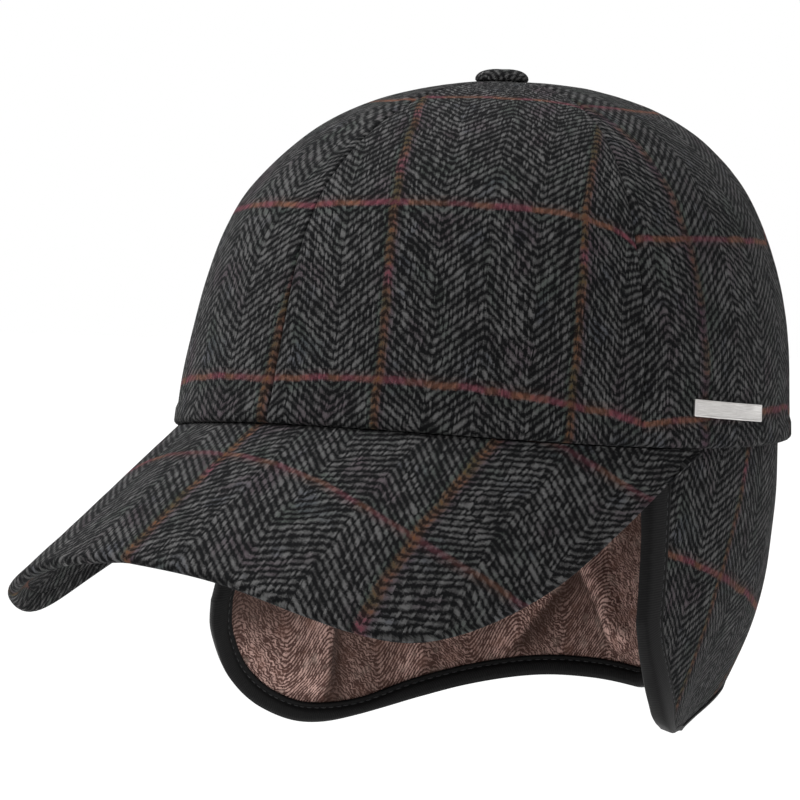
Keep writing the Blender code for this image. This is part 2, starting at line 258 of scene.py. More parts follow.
def lightStudio():
    studio = {"air": 1.0, "floorDrop": 0.45, "floorWhite": 0.92, "floorGlow": 0.15}
    bpy.context.scene.view_settings.view_transform = "Standard"
    world = bpy.data.worlds.new("paleRoom")
    world.use_nodes = True
    world.node_tree.nodes["Background"].inputs["Color"].default_value = (1.0, 1.0, 1.0, 1.0)
    world.node_tree.nodes["Background"].inputs["Strength"].default_value = studio["air"]
    bpy.context.scene.world = world
    addSoftbox("overheadSoftbox", (-0.95, -0.70, 2.3), (0.0, 0.0, 0.0), 1.4, 95.0)
    addSoftbox("frontSoftbox", (0.6, -2.6, 1.2), (0.0, 0.0, 0.0), 1.2, 5.0)
    bpy.ops.mesh.primitive_plane_add(size=60.0, location=(0.0, 0.0, -studio["floorDrop"]))
    floor = justAdded("paleFloor")
    floor.data.materials.append(newFinish("floorWhite", {
        "Base Color": (studio["floorWhite"],) * 3 + (1.0,), "Roughness": 0.9, "Specular IOR Level": 0.0,
        "Emission Color": (1.0, 1.0, 1.0, 1.0), "Emission Strength": studio["floorGlow"],
    }))


# Materials

class Signal:
    # one value in a material's nodes; + - * / between signals add Math nodes
    def __init__(self, tree, socket=None):
        self.tree = tree
        self.socket = socket

    def node(self, kind, settings, sockets, output=0):
        made = self.tree.nodes.new(kind)
        for name, value in settings.items():
            setattr(made, name, value)
        for name, value in sockets.items():
            if isinstance(value, Signal):
                self.tree.links.new(value.socket, made.inputs[name])
            else:
                made.inputs[name].default_value = value
        return Signal(self.tree, made.outputs[output])

    def maths(self, operation, *values):
        return self.node("ShaderNodeMath", {"operation": operation}, dict(enumerate(values)))

    def __add__(self, other):
        return self.maths("ADD", self, other)

    def __sub__(self, other):
        return self.maths("SUBTRACT", self, other)

    def __rsub__(self, other):
        return self.maths("SUBTRACT", other, self)

    def __mul__(self, other):
        return self.maths("MULTIPLY", self, other)

    def __truediv__(self, other):
        return self.maths("DIVIDE", self, other)

    __radd__ = __add__
    __rmul__ = __mul__

    def smooth(self, low, high):
        # 0 below low, 1 above high
        return self.node("ShaderNodeMapRange", {"interpolation_type": "SMOOTHSTEP"},
                         {"Value": self, "From Min": low, "From Max": high})

    def floor(self):
        return self.maths("FLOOR", self)

    def magnitude(self):
        return self.maths("ABSOLUTE", self)

    def vector(self, x, y, z=0.0):
        return self.node("ShaderNodeCombineXYZ", {}, {0: x, 1: y, 2: z})

    def speckle(self, place, scale, detail=2.0, roughness=0.5):
        return self.node("ShaderNodeTexNoise", {}, {"Vector": place, "Scale": scale, "Detail": detail,
                                                    "Roughness": roughness})

    def chance(self, place):
        # a different value from 0 to 1 for every cell
        return self.node("ShaderNodeTexWhiteNoise", {}, {"Vector": place})

    def blend(self, one, two):
        # colour that goes from one to two with this signal
        return self.node("ShaderNodeMix", {"data_type": "RGBA"}, {0: self, 6: one, 7: two}, 2)


def newFinish(name, constants):
    finish = bpy.data.materials.new(name)
    finish.use_nodes = True
    shader = finish.node_tree.nodes["Principled BSDF"]
    for socket, value in constants.items():
        shader.inputs[socket].default_value = value
    return finish


def clothPlace(finish):
    # cloth coordinates in millimetres, from the piece's own map
    uv = Signal(finish.node_tree).node("ShaderNodeUVMap", {"uv_map": "cloth"}, {}, "UV")
    place = uv.node("ShaderNodeVectorMath", {"operation": "SCALE"}, {0: uv, "Scale": 1000.0})
    return (place,) + tuple(place.node("ShaderNodeSeparateXYZ", {}, {0: place}, i) for i in (0, 1))


def connect(finish, colour, height, strength, depth, roughness=None):
    links, shader = finish.node_tree.links, finish.node_tree.nodes["Principled BSDF"]
    relief = colour.node("ShaderNodeBump", {}, {"Strength": strength, "Distance": depth, "Height": height})
    links.new(relief.socket, shader.inputs["Normal"])
    links.new(colour.socket, shader.inputs["Base Color"])
    if roughness is not None:
        links.new(roughness.socket, shader.inputs["Roughness"])
    return finish


def herringbone(place, u, v, look):
    # pale twill lines that turn at every column, broken up by the floats of single yarns
    drift = (u.speckle(place, 0.09, 1.0) - 0.5) * look["drift"]
    jitter = (u.speckle(place, look["jitterScale"], 2.0) - 0.5) * look["jitter"]
    across, along = u + drift, v + drift
    bent = across + jitter
    swing = bent.maths("COSINE", bent * (math.pi / look["column"]))
    fold = swing.maths("ARCCOSINE", swing * look["sharp"]) * (look["column"] / math.pi)
    column = (bent / look["column"]).floor()
    step = (along + jitter + fold * look["slope"]) / look["pitch"]
    wave = step.maths("SINE", step * math.tau) * 0.5 + 0.5
    line = (step + 0.25).floor()
    single = u.chance(u.vector((across / look["yarn"]).floor(), line, column))
    run = u.speckle(u.vector(across * look["runScale"], line * 7.3, column * 0.4), 1.0, 1.0)
    grain = u.speckle(place, look["grainScale"], 3.0, 0.65)
    pale = wave + (run - 0.5) * look["run"] + (single - 0.5) * look["single"] + (grain - 0.5) * look["grain"]
    pale = pale.smooth(look["edgeLow"], look["edgeHigh"])
    return across, along, pale, run, single, grain


def stripe(at, span):
    # signed distance from the nearest of the threads this far apart, and that thread's number
    number = (at / span + 0.5).floor()
    return at - number * span, number


def makeTweed():
    look = {
        "column": 14.65, "sharp": 0.994, "slope": 0.92, "pitch": 2.75, "yarn": 0.52,
        "drift": 2.2, "jitter": 1.0, "jitterScale": 0.40, "run": 0.9, "runScale": 0.65,
        "single": 0.9, "grain": 2.3, "grainScale": 2.1, "edgeLow": 0.10, "edgeHigh": 1.42,
        "dark": (0.0036, 0.0037, 0.0040, 1.0), "pale": (0.072, 0.071, 0.071, 1.0),
        "fleck": (0.18, 0.18, 0.18, 1.0), "crimson": (0.108, 0.031, 0.042, 1.0),
        "rust": (0.114, 0.050, 0.032, 1.0), "olive": (0.052, 0.033, 0.011, 1.0),
        "brown": (0.082, 0.034, 0.014, 1.0), "green": (0.012, 0.030, 0.018, 1.0),
        "plum": (0.046, 0.024, 0.036, 1.0), "slate": (0.028, 0.034, 0.052, 1.0),
        "redSpan": 56.6, "orangeSpan": 58.6,
    }
    finish = newFinish("charcoalTweed", {
        "Roughness": 0.95, "Specular IOR Level": 0.04, "Sheen Weight": 0.018, "Sheen Roughness": 0.35,
        "Sheen Tint": (0.85, 0.87, 0.90, 1.0),
    })
    place, u, v = clothPlace(finish)
    across, along, pale, run, single, grain = herringbone(place, u, v, look)
    patch = u.speckle(place, 0.06, 2.0)
    depth = pale * (run * 0.9 + single * 0.55 + 0.05) * (patch * 0.9 + 0.55)
    colour = depth.blend(look["dark"], look["pale"])
    # heathered tints that follow the yarns, and bright flecks
    tint = u.speckle(u.vector(across * 0.09, along * 0.05, 3.0), 1.0, 3.0)
    colour = (tint.smooth(0.55, 0.70) * pale * 0.45).blend(colour, look["plum"])
    colour = ((1.0 - tint).smooth(0.55, 0.70) * pale * 0.35).blend(colour, look["green"])
    tint = u.speckle(u.vector(across * 0.10, along * 0.07, 9.0), 1.0, 3.0)
    colour = (tint.smooth(0.58, 0.72) * pale * 0.35).blend(colour, look["slate"])
    fleck = u.speckle(place, 1.4, 1.0).smooth(0.68, 0.80) * pale
    colour = (fleck * 0.6).blend(colour, look["fleck"])
    # overcheck: a red weft across and an orange warp up and down, with duller threads beside them
    ragged = (grain - 0.5) * 2.2
    away, number = stripe(along, look["redSpan"])
    upper, lower = away + ragged, ragged - away
    core = 1.0 - upper.magnitude().smooth(0.35, 1.5)
    above = upper.smooth(0.8, 1.4) * (1.0 - upper.smooth(2.0, 3.4))
    below = lower.smooth(1.2, 2.0) * (1.0 - lower.smooth(2.8, 4.6))
    tone = u.speckle(u.vector(across * 0.085, number * 5.7, 0.0), 1.0, 1.0).smooth(0.44, 0.56)
    red = tone.blend(look["crimson"], look["rust"])
    colour = (above * (pale * 0.14 + 0.02)).blend(colour, red)
    colour = (below * pale * tint * 0.5).blend(colour, look["green"])
    strong = u.speckle(u.vector(across * 0.035, number * 3.1, 6.0), 1.0, 1.0).smooth(0.36, 0.56)
    weft = core * (pale * 0.38 + 0.50) * (run * 1.1 + single * 0.4 + 0.25) * (strong * 0.35 + 0.65)
    fade = u.node("ShaderNodeAttribute", {"attribute_name": "fade"}, {}, "Fac")
    colour = (weft * (1.0 - fade)).blend(colour, red)
    away, number = stripe(across, look["orangeSpan"])
    distance = (away + ragged).magnitude()
    core = 1.0 - distance.smooth(0.6, 1.95)
    beside = 1.0 - distance.smooth(1.9, 3.4)
    tone = u.speckle(u.vector(number * 9.1, along * 0.075, 4.0), 1.0, 1.0)
    orange = tone.smooth(0.34, 0.44).blend(look["crimson"], look["brown"])
    orange = tone.smooth(0.50, 0.60).blend(orange, look["olive"])
    # one warp in six is plum instead, and only turns orange here and there
    plum = 1.0 - (number.maths("FLOORED_MODULO", number, 6.0) - 3.0).magnitude().smooth(0.2, 0.8)
    orange = (plum * (0.95 - tone.smooth(0.42, 0.52) * 0.6)).blend(orange, look["plum"])
    colour = (beside * pale * 0.5).blend(colour, away.smooth(-0.5, 0.5).blend(look["green"], look["plum"]))
    warp = core * (pale * 0.85 + 0.10) * (run * 0.6 + 0.55)
    colour = warp.blend(colour, orange)
    height = pale * 0.8 + grain * 0.7 + single * pale * 0.2
    return connect(finish, colour, height, 0.8, 0.35 * mm)


def makeLiningCloth():
    look = {
        "column": 17.0, "sharp": 0.90, "slope": 1.35, "pitch": 1.4, "yarn": 0.45,
        "drift": 2.6, "jitter": 1.9, "jitterScale": 0.55, "run": 2.2, "runScale": 0.6,
        "single": 0.5, "grain": 2.3, "grainScale": 2.1, "edgeLow": 0.22, "edgeHigh": 1.0,
        "dark": (0.070, 0.036, 0.030, 1.0), "pale": (0.46, 0.30, 0.26, 1.0),
        "brown": (0.16, 0.080, 0.060, 1.0), "sand": (0.44, 0.34, 0.29, 1.0),
        # fold is the colour of the painted shade
        "fold": (0.030, 0.016, 0.012, 1.0),
    }
    finish = newFinish("brushedLining", {
        "Roughness": 0.95, "Specular IOR Level": 0.08, "Sheen Weight": 0.06, "Sheen Roughness": 0.5,
        "Sheen Tint": (1.0, 0.92, 0.88, 1.0),
    })
    place, u, v = clothPlace(finish)
    pale, run, single, grain = herringbone(place, u, v, look)[2:]
    colour = (pale * (run * 0.8 + single * 0.3 + 0.25)).blend(look["dark"], look["pale"])
    mottle = u.speckle(place, 0.16, 3.0)
    colour = (mottle.smooth(0.52, 0.70) * 0.45).blend(colour, look["brown"])
    colour = ((1.0 - mottle).smooth(0.56, 0.72) * 0.35).blend(colour, look["sand"])
    # painted shade: darker in the lining's folds, under the peak and beside the hem, read from a stored value
    # that also holds a little uneven mottle
    shadeAndMottle = u.node("ShaderNodeAttribute", {"attribute_name": "shadeAndMottle"}, {}, "Fac")
    colour = (shadeAndMottle * 0.86).blend(colour, look["fold"])
    return connect(finish, colour, pale * 0.6 + grain * 0.6, 0.7, 0.3 * mm)


def makeBacking():
    # plain woven reverse of the tweed, seen inside the crown
    look = {"span": 1.1, "dark": (0.012, 0.012, 0.013, 1.0), "pale": (0.045, 0.045, 0.047, 1.0)}
    finish = newFinish("wovenBacking", {"Roughness": 0.9, "Specular IOR Level": 0.25})
    place, u, v = clothPlace(finish)
    weave = u.maths("SINE", u * (math.tau / look["span"])) * u.maths("SINE", v * (math.tau / look["span"]))
    fuzz = u.speckle(place, 1.3, 3.0, 0.6)
    colour = (weave * 0.25 + fuzz).smooth(0.25, 0.85).blend(look["dark"], look["pale"])
    return connect(finish, colour, weave * 0.4 + fuzz, 0.5, 0.2 * mm)


def makeBindingCloth():
    look = {"rib": 0.75, "dark": (0.0022, 0.0022, 0.0024, 1.0), "pale": (0.0085, 0.0083, 0.0083, 1.0)}
    finish = newFinish("blackBinding", {
        "Specular IOR Level": 0.07, "Sheen Weight": 0.008, "Sheen Roughness": 0.4,
    })
    place, u, v = clothPlace(finish)
    ribs = u.maths("SINE", (u + v * 0.5) * (math.tau / look["rib"])) * 0.5 + 0.5
    fuzz = u.speckle(place, 1.1, 3.0, 0.6)
    colour = (ribs * 0.35 + fuzz * 0.65).smooth(0.3, 0.8).blend(look["dark"], look["pale"])
    return connect(finish, colour, ribs * 0.5 + fuzz * 0.4, 0.45, 0.15 * mm, fuzz * 0.25 + 0.5)


def makeThread():
    finish = newFinish("blackThread", {"Roughness": 0.5, "Specular IOR Level": 0.25})
    place = Signal(finish.node_tree).node("ShaderNodeTexCoord", {}, {}, "Object")
    fuzz = place.speckle(place, 2500.0, 2.0)
    colour = fuzz.blend((0.006, 0.006, 0.0065, 1.0), (0.018, 0.018, 0.019, 1.0))
    return connect(finish, colour, fuzz, 0.4, 0.05 * mm)


def makeSilver():
    finish = newFinish("satinSilver", {"Metallic": 1.0})
    place, u, v = clothPlace(finish)
    brushed = u.speckle(u.vector(u * 0.12, v * 6.0), 1.4, 3.0, 0.6)
    worn = u.speckle(place, 0.7, 3.0)
    colour = brushed.smooth(0.3, 0.7).blend((0.40, 0.385, 0.375, 1.0), (0.62, 0.605, 0.59, 1.0))
    colour = (worn.smooth(0.58, 0.75) * 0.3).blend(colour, (0.36, 0.345, 0.335, 1.0))
    return connect(finish, colour, brushed, 0.25, 0.05 * mm, brushed * 0.15 + 0.30)


# Cloth pieces

def deselectAll():
    bpy.ops.object.select_all(action="DESELECT")


def openMesh(piece, action=None):
    # into edit mode on this piece alone
    deselectAll()
    piece.select_set(True)
    bpy.context.view_layer.objects.active = piece
    bpy.ops.object.mode_set(mode="EDIT")
    if action:
        bpy.ops.mesh.select_all(action=action)


def closeMesh():
    bpy.ops.object.mode_set(mode="OBJECT")


def pointsOf(piece):
    flat = np.empty(len(piece.data.vertices) * 3)
    piece.data.vertices.foreach_get("co", flat)
    return flat.reshape(-1, 3)


def layMap(piece, cloth):
    # cloth coordinates, a pair for every vertex
    corner = np.empty(len(piece.data.loops), int)
    piece.data.loops.foreach_get("vertex_index", corner)
    piece.data.uv_layers.active.name = "cloth"
    piece.data.uv_layers["cloth"].data.foreach_set("uv", cloth[corner].ravel())


def layTone(piece, name, tone):
    # a value for every vertex, which a material reads by its name
    layer = piece.data.attributes.new(name, "FLOAT", "POINT")
    layer.data.foreach_set("value", tone.ravel())


def clothSheet(name, across, up, surface):
    # a grid laid on surface(across, up), which gives points and cloth coordinates
    points, cloth = surface(*np.meshgrid(across, up))
    rows, columns = points.shape[:2]
    bpy.ops.mesh.primitive_grid_add(x_subdivisions=columns - 1, y_subdivisions=rows - 1, size=1.0)
    sheet = justAdded(name)
    flat = pointsOf(sheet) + 0.5
    column = np.rint(flat[:, 0] * (columns - 1)).astype(int)
    row = np.rint(flat[:, 1] * (rows - 1)).astype(int)
    sheet.data.vertices.foreach_set("co", points[row, column].ravel())
    layMap(sheet, cloth[row, column])
    sheet.data.update()
    return sheet


def areaOf(sheet):
    return sum(face.area for face in sheet.data.polygons)


def applyModifier(piece, kind, **settings):
    bpy.context.view_layer.objects.active = piece
    modifier = piece.modifiers.new(kind.title(), kind)
    for name, value in settings.items():
        setattr(modifier, name, value)
    bpy.ops.object.modifier_apply(modifier=modifier.name)


def giveWall(sheet, wall, finishes):
    # cloth thickness behind the face, with softened edges; gives the face's area
    area = areaOf(sheet)
    for finish in finishes:
        sheet.data.materials.append(finish)
    applyModifier(sheet, "SOLIDIFY", thickness=wall, offset=-1.0, material_offset=len(finishes) - 1)
    applyModifier(sheet, "BEVEL", width=0.3 * mm, segments=3, limit_method="ANGLE",
                  angle_limit=math.radians(60), use_clamp_overlap=True)
    sheet.data.shade_smooth()
    return area


def handOver(piece, nodes=(), flat=None):
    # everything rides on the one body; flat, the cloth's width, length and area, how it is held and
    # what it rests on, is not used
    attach(piece, "root")
    if nodes:
        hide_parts(*nodes)
    if flat:
        width, length, area, held, restsOn = flat
        min(area, width * length)
    print("made", piece.name, len(piece.data.polygons), "faces")


def arcAlong(points, axis):
    steps = np.linalg.norm(np.diff(points, axis=axis), axis=-1)
    start = np.zeros_like(np.take(steps, [0], axis=axis))
    return np.concatenate([start, np.cumsum(steps, axis=axis)], axis=axis)


def makeCrownPanel(node, first, last, cut, tweed, backing):
    hem = {"radius": 1.5 * mm, "turnUp": 10.0 * mm, "puff": 0.55 * mm, "puffHeight": 5.6 * mm}
    seam = {"roll": 1.25 * mm, "depth": 0.95 * mm, "ridge": 0.22 * mm, "ridgeAt": 3.6 * mm,
            "ridgeWidth": 2.4 * mm, "pucker": 0.16 * mm}
    # levels at even steps up the panel's middle line
    middle = (first + last) / 2
    fine = np.linspace(0.0, len(crownForm["rows"]) - 1, 400)
    climb = arcAlong(crownSurface(0.0 * fine + middle, fine), 0)
    heights = np.linspace(0.0, climb[-1] - hem["radius"], 92)
    under = -hem["radius"] * np.radians([180, 155, 130, 105, 80, 55, 30, 12])
    up = np.concatenate([[under[0] - hem["turnUp"], under[0] - 0.5 * hem["turnUp"]], under, heights])
    close = np.array([0.0, 0.0012, 0.0032, 0.0062, 0.0105])
    across = np.concatenate([close, np.linspace(0.017, 0.983, 72), 1.0 - close[::-1]])

    def surface(share, height):
        angle = first + (last - first) * share
        level = np.interp(np.maximum(height, 0.0) + hem["radius"], climb, fine)
        points = crownSurface(angle, level)
        normal = normalsOf(crownSurface, angle, np.clip(level, 0.02, 9.96))
        around = arcAlong(points, 1)
        fromSeam = np.minimum(around, around[:, -1:] - around)
        around = around - around[:, len(across) // 2][:, None]
        # the edges roll in to the seam, and the pressed allowance makes a low ridge beside it
        rolled = 1.0 - np.sqrt(1.0 - np.clip(1.0 - fromSeam / seam["roll"], 0.0, 1.0) ** 2)
        lift = -seam["depth"] * rolled
        lift += seam["ridge"] * bump(fromSeam, seam["ridgeAt"], seam["ridgeWidth"])
        lift += seam["pucker"] * np.exp(-fromSeam / (5 * mm)) * ripple(points, 5, 3.1)
        lift += 0.42 * mm * ripple(points, 38, 7.7) + 0.16 * mm * ripple(points, 15, 1.3)
        puffTop = hem["puffHeight"] - 0.3 * mm
        lift += hem["puff"] * smoothStep(puffTop, puffTop - 2.0 * mm, height)
        lift = np.where(height < -2 * hem["radius"], np.maximum(lift, 0.0), lift)
        # below the rim the cloth turns under and up inside
        turn = np.clip(-height / hem["radius"], 0.0, math.pi)[..., None]
        upward = unit(crownSurface(angle, level + 0.02) - crownSurface(angle, level))
        inside = np.maximum(-height - math.pi * hem["radius"], 0.0)[..., None]
        points = points + normal * (lift[..., None] - hem["radius"] * (1.0 - np.cos(turn)))
        points = points + upward * (inside - hem["radius"] * np.sin(turn))
        u, v = around / mm, (height + hem["radius"]) / mm
        # the threads dip beside the side seam, higher up
        beside = np.exp(-fromSeam / (8.5 * mm)) * smoothStep(20 * mm, 65 * mm, height)
        v = v + abs(cut["dip"]) * beside * (u * cut["dip"] > 0.0)
        v = (v + cut["bow"] * u * u + (cut["skew"] + cut["skewRise"] * v) * u - cut["red"]) * cut["ease"]
        u = (u - cut["orange"]) * cut["narrow"]
        return points, pack(u, v) * cut["sense"] * mm

    sheet = clothSheet(node + "_cloth", across, up, surface)
    rim = crownSurface(np.linspace(first, last, 60), np.zeros(60))
    width, length = float(arcAlong(rim, 0)[-1]), float(climb[-1] - up[0])
    area = giveWall(sheet, 1.1 * mm, (tweed, backing))
    handOver(sheet, [node], (width, length, area, "stretched", [node]))


def makeCrown(tweed, backing):
    # where the red threads run above each panel's rim and the orange ones beside its middle, in
    # millimetres, how they bow, slant and dip, how the cloth is eased and which way up it is cut
    columns = ("narrow", "dip", "red", "orange", "bow", "skew", "skewRise", "ease", "sense")
    cuts = {
        "front_left": (1.0, 8.6, 14.3, -22.6, 0.00107, 0.059, -0.00077, 1.0, 1.0),
        "front_right": (0.8, -8.6, 13.0, 54.3, 0.00107, -0.06, 0.0, 1.03, 1.0),
        "side_left": (0.9, 0.0, 10.3, -216.8, 0.00080, -0.046, 0.0009, 1.06, -1.0),
        "side_right": (1.0, 0.0, 9.5, 17.0, 0.00107, 0.04, 0.0, 1.03, -1.0),
        "back_left": (1.0, -5.0, 10.5, -12.0, 0.00107, 0.0, 0.0, 1.0, 1.0),
        "back_right": (1.0, 5.0, 11.5, 24.0, 0.00107, 0.0, 0.0, 1.0, 1.0),
    }
    spans = {"front": (0.0, 73.0), "side": (73.0, 126.0), "back": (126.0, 180.0)}
    for name, cut in cuts.items():
        place, side = name.split("_")
        first, last = spans[place]
        if side == "right":
            first, last = -last, -first
        makeCrownPanel("crown_" + name, first, last, dict(zip(columns, cut)), tweed, backing)


def makePeak(tweed):
    edge = {"radius": 1.6 * mm, "under": 5.0 * mm, "thickness": 3.2 * mm, "gap": 0.15 * mm,
            "inset": 1.8 * mm, "corner": 0.9 * mm}
    cloth = {"slope": 34.5, "narrow": 0.825, "ahead": 0.84, "behind": 0.97, "orange": 67.3, "lean": 0.0009,
             "red": 18.0, "skew": 0.13, "fall": 0.0058, "fallFrom": 50.0, "fade": 0.42}
    end = peakForm["end"]
    across = end * np.sin(math.pi / 2 * np.linspace(-1.0, 1.0, 150))
    slope = math.radians(cloth["slope"])
    down = np.array([0.0, -math.cos(slope), -math.sin(slope)])

    def clothCoordinates(distance):
        # the peak is cut flat and bent, so its threads follow the slope and the arc across it
        rim = crownSurface(across, 0.0 * across)
        steps = np.diff(rim, axis=0)
        level = np.linalg.norm(steps - (steps @ down)[:, None] * down, axis=1)
        u = np.concatenate([[0.0], np.cumsum(level)])
        half = len(across) // 2
        u = np.broadcast_to((u - (u[half] + u[half - 1]) / 2) / mm, distance.shape)
        v = ((rim - rim[half]) @ down + distance) / mm
        fall = cloth["fall"] * np.maximum(abs(u) - cloth["fallFrom"], 0.0) ** 2
        v = v - cloth["red"] - cloth["skew"] * u + fall
        u = u - cloth["orange"] - cloth["lean"] * (distance / mm) ** 2
        v = v * np.where(v > 0.0, cloth["ahead"], cloth["behind"])
        return pack(u * cloth["narrow"], v) * mm

    def slopeDistance(angle, share):
        return (peakSurface(angle, share) - peakSurface(angle, 0.0 * share)) @ down

    def narrowing(angle):
        return 1.0 - 0.8 * smoothStep(74.0, 86.0, abs(angle))

    def pulledIn(angle, share, radius):
        # points drawn in towards the rim by this much at the edge, the normal and the way off the edge
        run = peakSurface(angle + 0.2, np.ones_like(share)) - peakSurface(angle - 0.2, np.ones_like(share))
        normal = -normalsOf(peakSurface, angle, np.clip(share, 0.02, 1.0), 0.1, 0.01)
        out = unit(np.cross(run, normal))
        return peakSurface(angle, share) - out * (radius * share)[..., None], normal, out

    def upperSurface(angle, way):
        # way is the share of the reach up to 1, then millimetres round the edge and back underneath
        # below 0 it is millimetres of the allowance that goes in under the crown's hem and up behind it
        share = np.clip(way, 0.0, 1.0)
        points, normal, out = pulledIn(angle, share, edge["radius"])
        beyond = np.maximum(way - 1.0, 0.0) * mm
        turn = np.clip(beyond / edge["radius"], 0.0, math.pi)[..., None]
        back = (np.maximum(beyond - math.pi * edge["radius"], 0.0) * narrowing(angle))[..., None]
        points = points + out * (edge["radius"] * np.sin(turn) - back)
        points = points + normal * (edge["radius"] * (np.cos(turn) - 1.0))
        calm = smoothStep(0.0, 0.15, share) * smoothStep(1.0 * mm, 0.0, beyond)
        lift = (0.35 * mm * ripple(points, 30, 4.2) + 0.12 * mm * ripple(points, 11, 9.2)) * calm
        points = points + normal * lift[..., None]
        within = np.maximum(-way, 0.0)[..., None] * mm
        inward = -normalsOf(crownSurface, angle, 0.0 * angle + 0.02)
        bend = np.clip((within - edge["inset"]) / edge["corner"], 0.0, math.pi / 2)
        points = points + inward * (np.minimum(within, edge["inset"]) + edge["corner"] * np.sin(bend))
        past = np.maximum(within - edge["inset"] - edge["corner"] * math.pi / 2, 0.0)
        points = points + (edge["corner"] * (1.0 - np.cos(bend)) + past) * np.array([0.0, 0.0, 1.0])
        return points, clothCoordinates(slopeDistance(angle, share) + beyond - within[..., 0])

    def lowerSurface(angle, share):
        back = edge["radius"] + edge["under"] * narrowing(angle) + edge["gap"]
        points, normal, _ = pulledIn(angle, share, back)
        points = points - normal * edge["thickness"]
        return points, clothCoordinates(slopeDistance(angle, share)) * np.array([-1.0, 1.0])

    # the grids run inwards from the edge, so that the upper one faces up and the lower one down
    radius, under = edge["radius"] / mm, edge["under"] / mm
    turned = [math.pi * radius + under, math.pi * radius + under / 2]
    turned = 1.0 + np.concatenate([turned, radius * np.radians(np.linspace(180, 15, 11))])
    allowance = np.array([0.6, 1.2, 1.8, 2.1, 2.4, 2.7, 3.0, 3.3, 4.5, 6.0, 8.0])
    way = np.concatenate([turned, np.linspace(1.0, 0.0, 60), -allowance])
    upper = clothSheet("peak_upper_cloth", across, way, upperSurface)
    # the red threads are fainter on the wearer's left
    layTone(upper, "fade", np.tile(cloth["fade"] * smoothStep(-30.0, 10.0, across), len(way)))
    area = giveWall(upper, 1.2 * mm, (tweed,))
    handOver(upper, ["peak_upper"], (0.236, 0.122, area, "stretched", ["peak_lower"]))
    lower = clothSheet("peak_lower_cloth", across, np.linspace(0.0, 1.0, 50), lowerSurface)
    area = giveWall(lower, 0.9 * mm, (tweed,))
    handOver(lower, ["peak_lower"], (0.226, 0.102, area, "stretched", ["peak_upper"]))


# angles round the band, close together near its front edges
bandAngles = flapForm["start"] + (180.0 - flapForm["start"]) * np.concatenate([
    np.linspace(0.0, 0.1, 26)[:-1], np.linspace(0.1, 1.0, 110)])
bandAngles = np.concatenate([bandAngles, 360.0 - bandAngles[-2::-1]])


def bandSheet(name, depth, lift, grain, shadeAndMottle=None):
    # a layer of the flap band, this deep behind the band's face, with its threads turned by this grain
    tones = []
    up = np.concatenate([np.linspace(1.0, 0.0, 62)[:-1], np.linspace(0.0, -1.0, 9)])

    def surface(angle, share):
        # share is 1 on the free edge, 0 on the rim and -1 at the top of the tuck
        height = np.where(share >= 0.0, -flapDepth(angle) * share, -flapForm["tuck"] * share)
        points = flapSurface(angle, height)
        normal = normalsOf(flapSurface, angle, height, 0.05, 0.5 * mm)
        if shadeAndMottle:
            tones.append(shadeAndMottle(angle, height, points))
        points = points + normal * (lift(angle, height, points) - depth)[..., None]
        rim = arcAlong(flapSurface(bandAngles, 0.0 * bandAngles), 0)
        u = np.broadcast_to(np.minimum(rim, rim[-1] - rim) / mm, angle.shape)
        v = arcAlong(points, 0)
        v = (v - v[np.argmin(abs(up))][None]) / mm
        turn = math.radians(grain["turn"])
        across = u * math.cos(turn) - v * math.sin(turn) - grain["orange"]
        along = u * math.sin(turn) + (v - grain["red"]) * math.cos(turn)
        return points, pack(across, along) * mm

    sheet = clothSheet(name, bandAngles, up, surface)
    # the painted shade, kept on the lining for its material
    if shadeAndMottle:
        layTone(sheet, "shadeAndMottle", tones[0])
    return sheet


